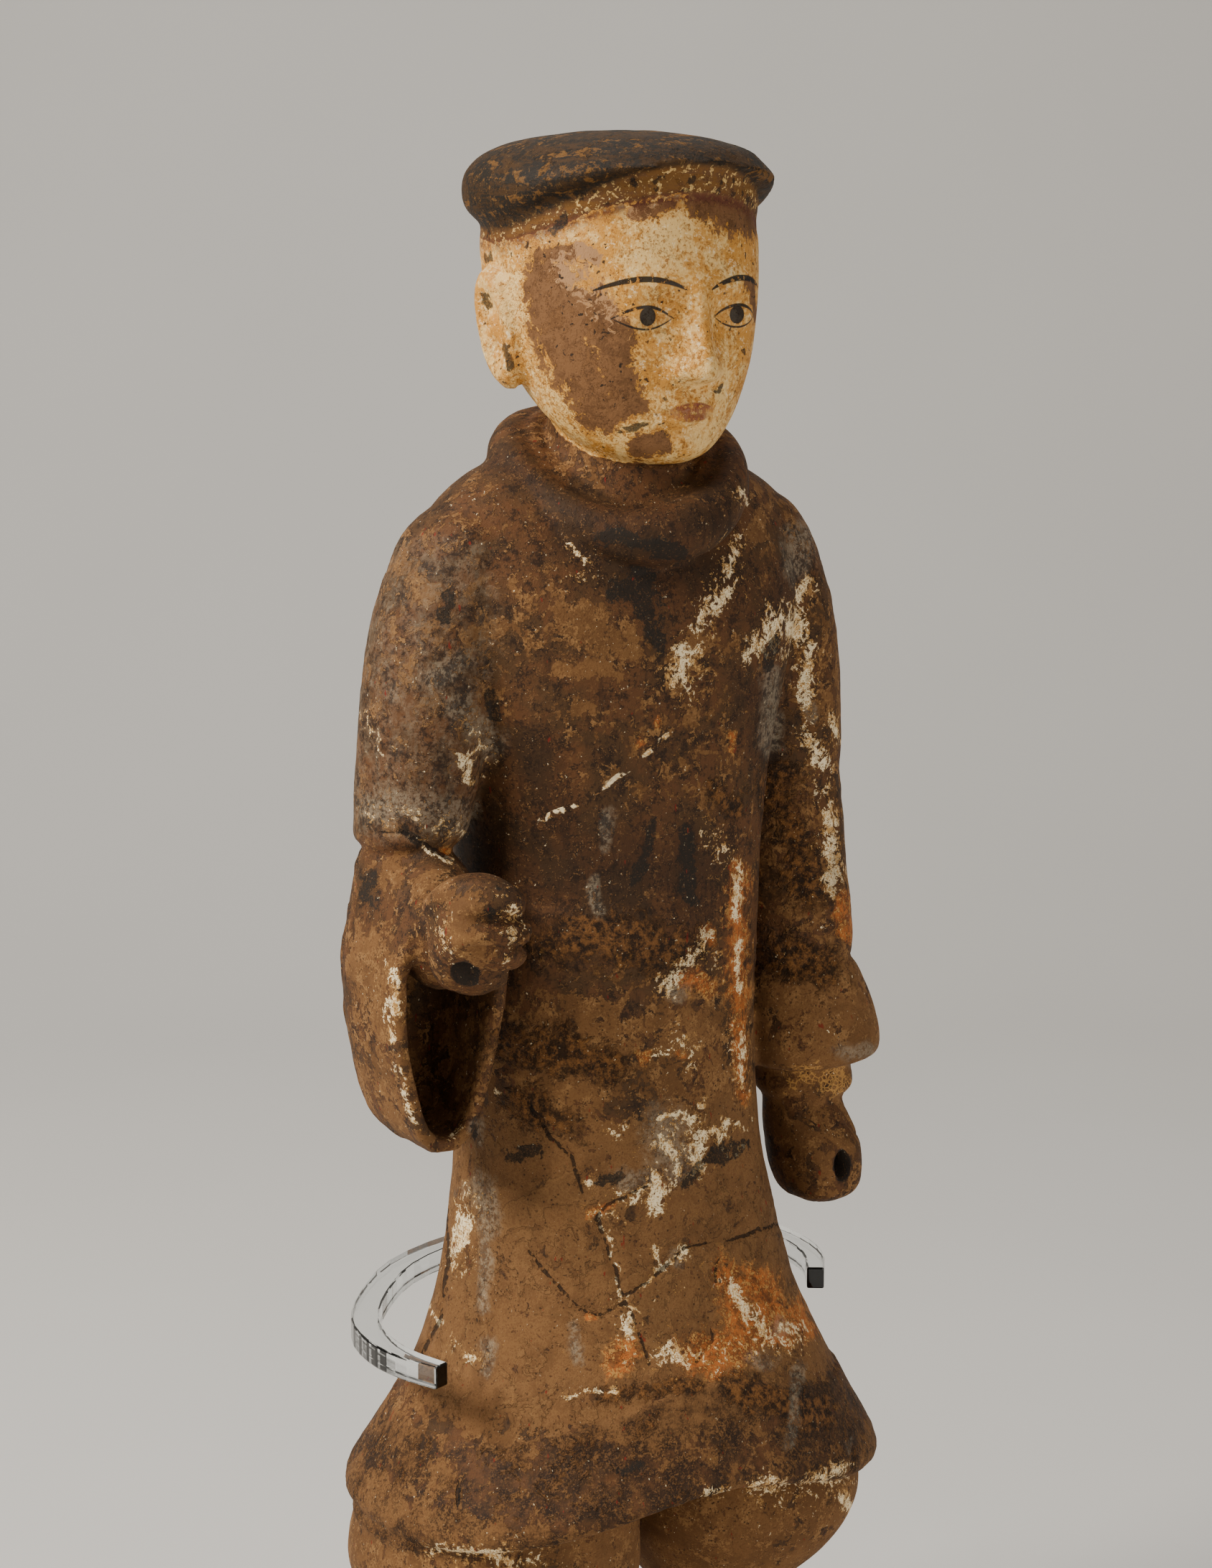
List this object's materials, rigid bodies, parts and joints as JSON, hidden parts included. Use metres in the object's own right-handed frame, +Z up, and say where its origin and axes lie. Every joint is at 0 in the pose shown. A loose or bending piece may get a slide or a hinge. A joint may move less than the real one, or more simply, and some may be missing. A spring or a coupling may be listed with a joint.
{
  "type": "pottery attendant figure in a clear display cradle",
  "caption": "Standing pottery attendant in a long robe and soft cap, fists pierced to hold poles, on a low base, kept upright by a clear acrylic band, post and foot plate.",
  "frame": {"origin": "underside of the cradle's foot plate, under the body axis of the figure", "axes": "+Z up; the figure faces -Y, and its right hand is at -X"},
  "size_m": [0.1671, 0.152, 0.5053],
  "materials": {
    "pottery": "unglazed brown pottery with worn cream, orange and dark pigment and a crust of earth",
    "clear_acrylic": "clear polished acrylic sheet"
  },
  "bodies": {
    "root": {"pottery_figure": "pottery", "cradle_band": "clear_acrylic", "cradle_post": "clear_acrylic", "cradle_foot": "clear_acrylic"}
  },
  "joints": []
}
